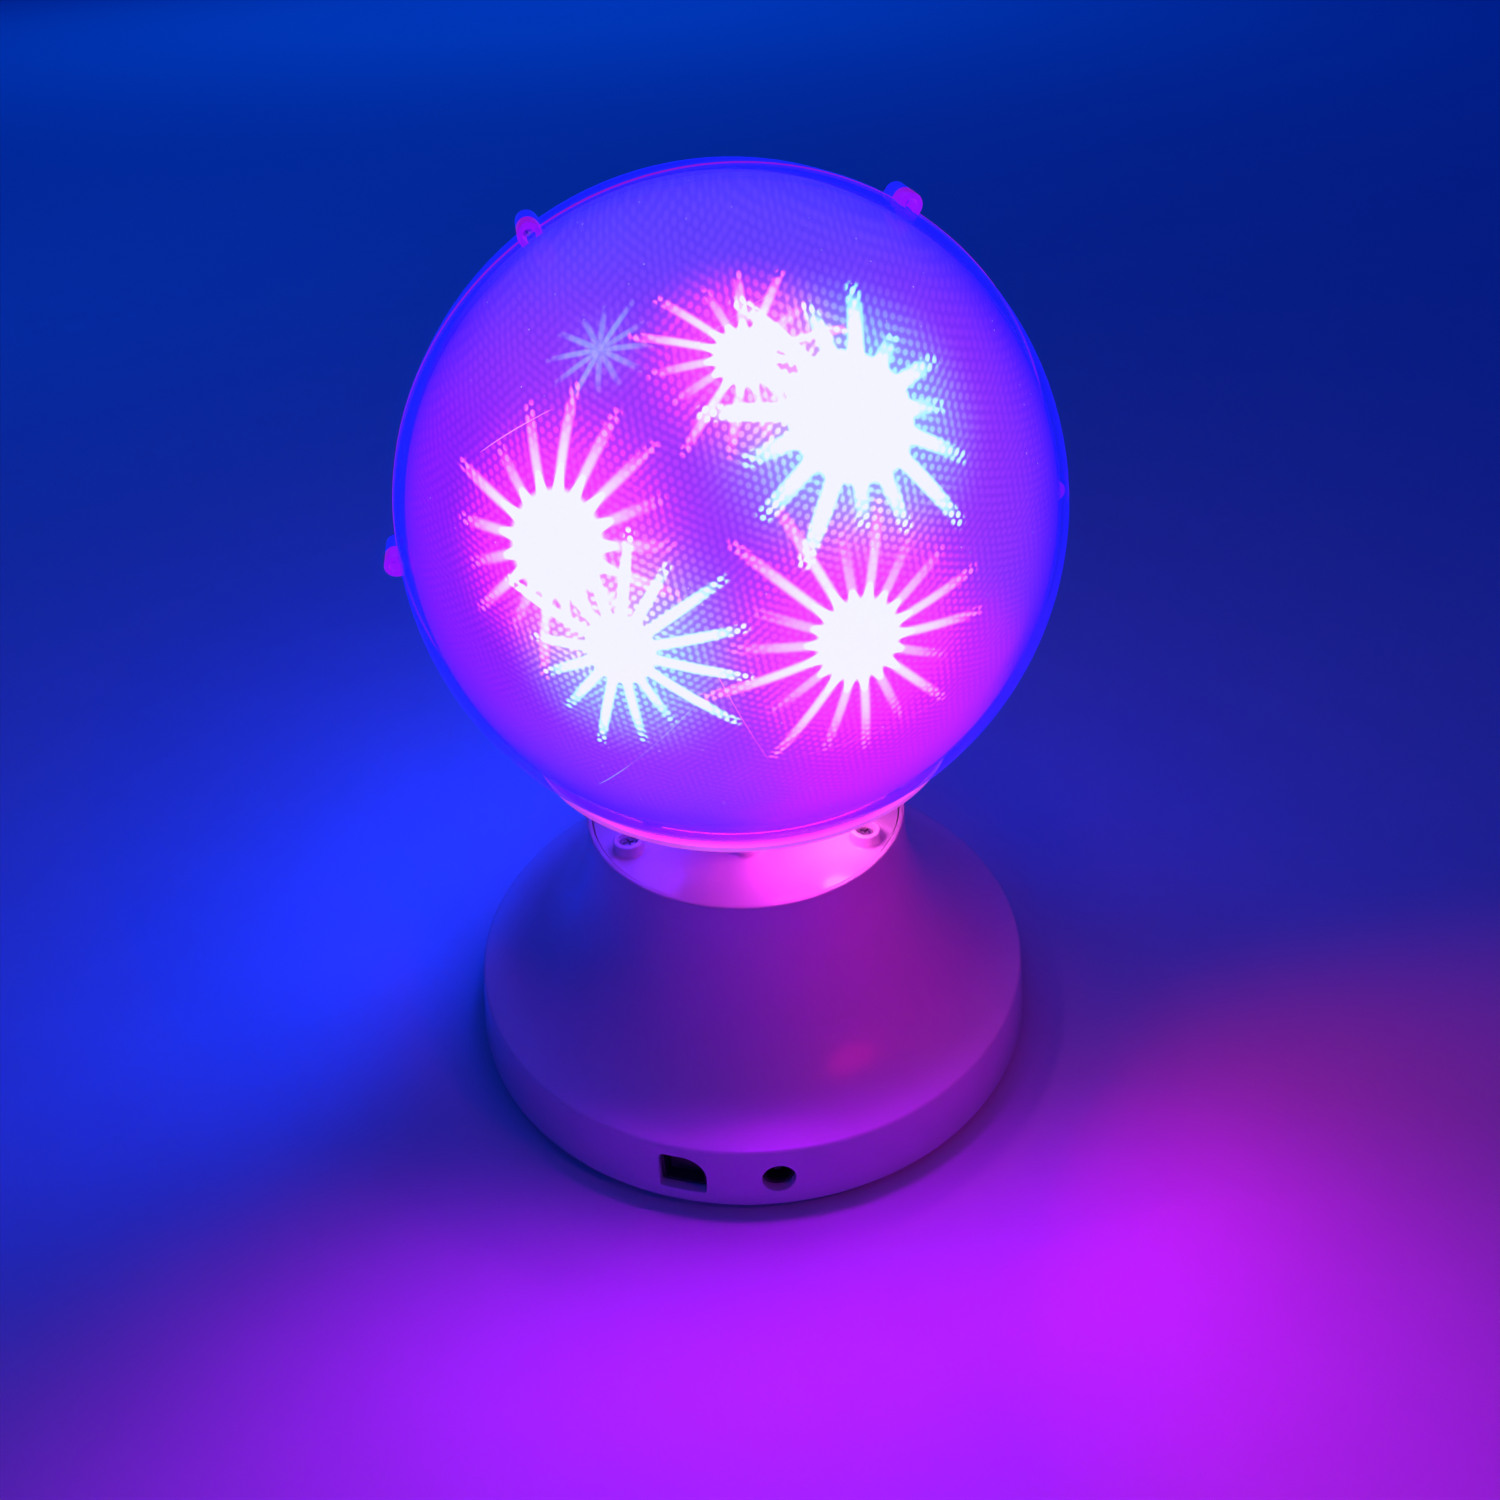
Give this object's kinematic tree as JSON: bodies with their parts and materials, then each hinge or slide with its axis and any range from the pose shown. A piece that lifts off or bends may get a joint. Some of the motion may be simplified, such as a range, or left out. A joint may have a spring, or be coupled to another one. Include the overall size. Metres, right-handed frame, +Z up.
{
  "type": "starburst globe lamp",
  "caption": "Motor-turned globe of two clear plastic shells lined with diffraction film that shows starbursts, on a bell-shaped white base with a power jack and a rocker switch.",
  "frame": {"origin": "centre of the footprint, on the surface that the feet stand on", "axes": "+Z up along the globe's spin axis, -Y towards the front of the base with the power jack, +X to the right seen from the front"},
  "size_m": [0.158, 0.158, 0.2253],
  "materials": {
    "white_plastic": "white injection-moulded plastic, soft sheen",
    "deck_plastic": "white moulded plastic, slightly glossier than the base",
    "clear_shell": "clear polished plastic, thin, smooth",
    "film": "fine-embossed diffraction film, lit from behind in violet and blue",
    "lip_plastic": "translucent white plastic that takes the colour of the light",
    "gear_plastic": "natural acetal, satin",
    "black_plastic": "black moulded plastic, fine texture",
    "rubber": "black rubber, matt",
    "screw_steel": "plated steel",
    "motor_steel": "drawn steel, satin",
    "bronze": "sintered bronze bearing",
    "circuit_board": "green solder mask on fibreglass board",
    "led_lens": "clear water-clear LED lens, lit"
  },
  "bodies": {
    "base": {"base_shell": "white_plastic", "bottom_cover": "white_plastic", "led_mast": "white_plastic", "top_deck": "deck_plastic", "thrust_washer": "gear_plastic", "gearbox": "black_plastic", "board_capacitor": "black_plastic", "board_chip": "black_plastic", "led_cable": "black_plastic", "dc_jack": "black_plastic", "switch_body": "black_plastic", "foot_1": "rubber", "foot_2": "rubber", "foot_3": "rubber", "foot_4": "rubber", "deck_screw_1": "screw_steel", "deck_screw_2": "screw_steel", "deck_screw_3": "screw_steel", "bottom_screw_1": "screw_steel", "bottom_screw_2": "screw_steel", "bottom_screw_3": "screw_steel", "bottom_screw_4": "screw_steel", "motor_screw_1": "screw_steel", "motor_screw_2": "screw_steel", "spindle_nut": "screw_steel", "retaining_ring": "screw_steel", "spindle": "motor_steel", "motor_can": "motor_steel", "control_board": "circuit_board", "led_board": "circuit_board", "led_front_1": "led_lens", "led_front_2": "led_lens", "led_front_3": "led_lens", "led_front_4": "led_lens", "led_front_5": "led_lens", "led_front_6": "led_lens", "led_rear_1": "led_lens", "led_rear_2": "led_lens", "led_rear_3": "led_lens", "led_rear_4": "led_lens", "led_rear_5": "led_lens", "led_rear_6": "led_lens"},
    "globe": {"globe_collar": "lip_plastic", "hub_bush": "bronze", "ring_gear": "gear_plastic", "globe_front_shell": "clear_shell", "globe_rear_shell": "clear_shell", "film_front": "film", "film_rear": "film", "seam_screw_1": "screw_steel", "seam_screw_2": "screw_steel", "seam_screw_3": "screw_steel", "seam_screw_4": "screw_steel", "collar_screw_1": "screw_steel", "collar_screw_2": "screw_steel", "collar_screw_3": "screw_steel", "collar_screw_4": "screw_steel"},
    "pinion": {"drive_pinion": "gear_plastic", "motor_shaft": "screw_steel"},
    "rocker": {"switch_rocker": "black_plastic"}
  },
  "joints": [
    {"name": "globe_spin", "type": "hinge", "parent": "base", "child": "globe", "pos_m": [0, 0, 0.15], "axis": [0, 0, 1], "continuous": true},
    {"name": "pinion_spin", "type": "hinge", "parent": "base", "child": "pinion", "pos_m": [0, -0.02, 0.085], "axis": [0, 0, 1], "continuous": true},
    {"name": "rocker_tilt", "type": "hinge", "parent": "base", "child": "rocker", "pos_m": [-0.01773, -0.06854, 0.0114], "axis": [0.9681, -0.2504, 0], "range_deg": [-14, 0]}
  ],
  "couplings": [
    {"joint": "pinion_spin", "follows": "globe_spin", "ratio": 4.3333}
  ]
}
